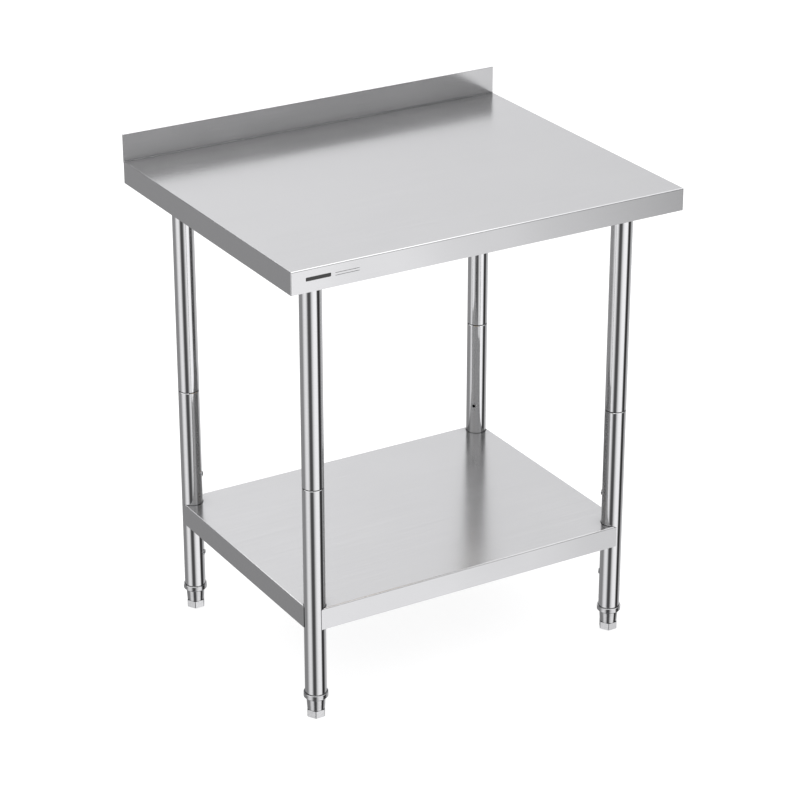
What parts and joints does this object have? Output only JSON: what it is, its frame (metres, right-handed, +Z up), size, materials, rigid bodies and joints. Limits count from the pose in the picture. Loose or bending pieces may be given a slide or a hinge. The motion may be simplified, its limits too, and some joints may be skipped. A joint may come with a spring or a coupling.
{
  "type": "stainless work table",
  "caption": "Stainless steel kitchen work table with a folded-edge worktop, low backsplash, solid undershelf, round two-part legs and screw-adjustable bullet feet.",
  "frame": {"origin": "middle of the footprint, on the floor under the table", "axes": "+Z up, +X to the right along the front, +Y towards the backsplash"},
  "size_m": [0.762, 0.61, 0.914],
  "materials": {
    "stainless_sheet": "fine brushed stainless sheet",
    "stainless_tube": "polished stainless tube",
    "galvanised_steel": "spangled galvanised sheet",
    "socket_steel": "zinc-plated pressed steel",
    "zinc_fastener": "bright zinc plate",
    "black_oxide": "black oxide",
    "foot_metal": "polished, bright plated",
    "stud_steel": "zinc-plated thread",
    "nylon": "moulded nylon",
    "coupler_plastic": "moulded nylon",
    "core_board": "bare fibreboard"
  },
  "bodies": {
    "frame": {"tabletop": "stainless_sheet", "core_board": "core_board", "channel_left": "galvanised_steel", "channel_centre": "galvanised_steel", "channel_right": "galvanised_steel", "channel_screws": "zinc_fastener", "leg_socket_fl": "socket_steel", "leg_socket_fr": "socket_steel", "leg_socket_bl": "socket_steel", "leg_socket_br": "socket_steel", "socket_screws": "zinc_fastener", "grub_screws": "black_oxide", "upper_leg_fl": "stainless_tube", "upper_leg_fr": "stainless_tube", "upper_leg_bl": "stainless_tube", "upper_leg_br": "stainless_tube", "leg_coupler_fl": "coupler_plastic", "leg_coupler_fr": "coupler_plastic", "leg_coupler_bl": "coupler_plastic", "leg_coupler_br": "coupler_plastic", "lower_leg_fl": "stainless_tube", "lower_leg_fr": "stainless_tube", "lower_leg_bl": "stainless_tube", "lower_leg_br": "stainless_tube", "rivet_nuts": "zinc_fastener", "shelf_panel": "stainless_sheet", "shelf_stiffener": "galvanised_steel", "shelf_screws": "zinc_fastener", "shelf_washers": "zinc_fastener", "shelf_saddle_fl": "socket_steel", "shelf_saddle_fr": "socket_steel", "shelf_saddle_bl": "socket_steel", "shelf_saddle_br": "socket_steel", "foot_socket_fl": "foot_metal", "foot_socket_fr": "foot_metal", "foot_socket_bl": "foot_metal", "foot_socket_br": "foot_metal"},
    "glide_fl": {"foot_glide_fl": "nylon"},
    "foot_fl": {"foot_fl": "foot_metal", "foot_stud_fl": "stud_steel"},
    "glide_fr": {"foot_glide_fr": "nylon"},
    "foot_fr": {"foot_fr": "foot_metal", "foot_stud_fr": "stud_steel"},
    "glide_bl": {"foot_glide_bl": "nylon"},
    "foot_bl": {"foot_bl": "foot_metal", "foot_stud_bl": "stud_steel"},
    "glide_br": {"foot_glide_br": "nylon"},
    "foot_br": {"foot_br": "foot_metal", "foot_stud_br": "stud_steel"}
  },
  "joints": [
    {"name": "foot_height_fl", "type": "slide", "parent": "frame", "child": "glide_fl", "axis": [0, 0, -1], "range_m": [0, 0.025]},
    {"name": "foot_turn_fl", "type": "hinge", "parent": "glide_fl", "child": "foot_fl", "pos_m": [-0.3065, -0.232, 0], "axis": [0, 0, -1], "range_deg": [0, 5142.8]},
    {"name": "foot_height_fr", "type": "slide", "parent": "frame", "child": "glide_fr", "axis": [0, 0, -1], "range_m": [0, 0.025]},
    {"name": "foot_turn_fr", "type": "hinge", "parent": "glide_fr", "child": "foot_fr", "pos_m": [0.3065, -0.232, 0], "axis": [0, 0, -1], "range_deg": [0, 5142.8]},
    {"name": "foot_height_bl", "type": "slide", "parent": "frame", "child": "glide_bl", "axis": [0, 0, -1], "range_m": [0, 0.025]},
    {"name": "foot_turn_bl", "type": "hinge", "parent": "glide_bl", "child": "foot_bl", "pos_m": [-0.3065, 0.229, 0], "axis": [0, 0, -1], "range_deg": [0, 5142.8]},
    {"name": "foot_height_br", "type": "slide", "parent": "frame", "child": "glide_br", "axis": [0, 0, -1], "range_m": [0, 0.025]},
    {"name": "foot_turn_br", "type": "hinge", "parent": "glide_br", "child": "foot_br", "pos_m": [0.3065, 0.229, 0], "axis": [0, 0, -1], "range_deg": [0, 5142.8]}
  ],
  "couplings": [
    {"joint": "foot_height_fl", "follows": "foot_turn_fl", "m_per_rad": 0.00027852},
    {"joint": "foot_height_fr", "follows": "foot_turn_fr", "m_per_rad": 0.00027852},
    {"joint": "foot_height_bl", "follows": "foot_turn_bl", "m_per_rad": 0.00027852},
    {"joint": "foot_height_br", "follows": "foot_turn_br", "m_per_rad": 0.00027852}
  ]
}
